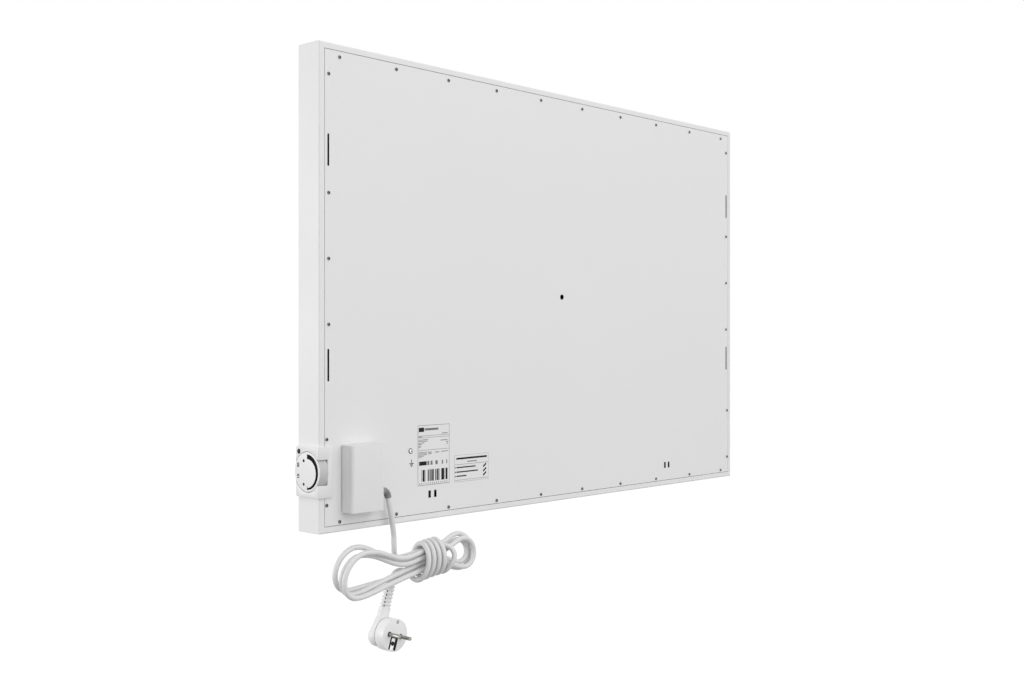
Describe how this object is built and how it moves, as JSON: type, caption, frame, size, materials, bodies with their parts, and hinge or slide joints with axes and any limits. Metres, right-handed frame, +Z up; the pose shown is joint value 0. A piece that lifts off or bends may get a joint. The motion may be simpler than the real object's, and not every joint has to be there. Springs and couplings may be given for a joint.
{
  "type": "infrared panel heater",
  "caption": "Flat white infrared panel heater seen from its wall side: screwed back plate with hanging slots, edge thermostat dial, junction box, hanked mains cord and plug.",
  "frame": {"origin": "centre of the four hanging slots, on the rear face that faces the wall", "axes": "+X across the panel to the thermostat side, +Y out of the rear face towards the wall, +Z up"},
  "size_m": [0.9039, 0.0901, 0.755],
  "materials": {
    "powder_white": "fine powder coat, satin",
    "rail_zinc": "zinc plated, dull",
    "screw_zinc": "zinc plated, bright",
    "element_sheet": "matt laminate",
    "busbar_copper": "bare copper",
    "contact_brass": "bare brass",
    "reflector_foil": "bright foil",
    "mat_fibre": "loose mineral fibre",
    "cutout_case": "moulded, dull",
    "wire_sheath": "extruded, smooth",
    "earth_sheath": "extruded, smooth",
    "box_white": "moulded, fine grain",
    "terminal_case": "moulded, satin",
    "contact_nickel": "nickel plated",
    "gland_rubber": "moulded rubber, dull",
    "cord_white": "smooth PVC sheath",
    "plug_white": "moulded PVC, satin",
    "cover_white": "moulded, fine grain",
    "dial_white": "moulded, satin",
    "carrier_plastic": "moulded, dull",
    "regulator_case": "moulded, dull",
    "board_green": "lacquered glass fibre board",
    "relay_case": "moulded, satin",
    "lens_red": "tinted, glossy",
    "sensor_bead": "dipped resin",
    "label_film": "printed film"
  },
  "bodies": {
    "heater": {"casing": "powder_white", "back_plate": "powder_white", "top_rail": "rail_zinc", "bottom_rail": "rail_zinc", "thermostat_side_rail": "rail_zinc", "far_side_rail": "rail_zinc", "back_plate_screws": "screw_zinc", "heating_element": "element_sheet", "busbars": "busbar_copper", "busbar_terminals": "contact_brass", "reflector_foil": "reflector_foil", "insulation_mat": "mat_fibre", "thermal_cutout": "cutout_case", "element_wires": "wire_sheath", "earth_screw": "screw_zinc", "earth_nut": "screw_zinc", "earth_wire": "earth_sheath", "junction_box": "box_white", "junction_box_screws": "screw_zinc", "terminal_block": "terminal_case", "terminal_inserts": "contact_brass", "terminal_screws": "contact_nickel", "terminal_block_screws": "screw_zinc", "cord_clamp_base": "terminal_case", "cord_clamp_bar": "terminal_case", "cord_clamp_screws": "screw_zinc", "cord_gland": "gland_rubber", "feed_grommet": "gland_rubber", "cord_inside": "cord_white", "cord_cores": "wire_sheath", "supply_wires": "wire_sheath", "thermostat_cover": "cover_white", "thermostat_carrier": "carrier_plastic", "carrier_screws": "screw_zinc", "dial_regulator": "regulator_case", "regulator_nut": "contact_nickel", "control_board": "board_green", "relay": "relay_case", "indicator_lens": "lens_red", "air_sensor": "sensor_bead", "rating_label": "label_film", "notice_label": "label_film", "cord_drop": "cord_white", "cord_hank": "cord_white", "plug_relief": "plug_white", "plug_body": "plug_white", "plug_disc": "plug_white", "plug_pins": "contact_nickel", "plug_earth_contact": "contact_nickel"},
    "dial": {"dial_wheel": "dial_white", "dial_shaft": "contact_nickel"}
  },
  "joints": [
    {"name": "dial_turn", "type": "hinge", "parent": "heater", "child": "dial", "pos_m": [0.45, -0.0193, -0.262], "axis": [1, 0, 0], "range_deg": [-135, 135]}
  ]
}
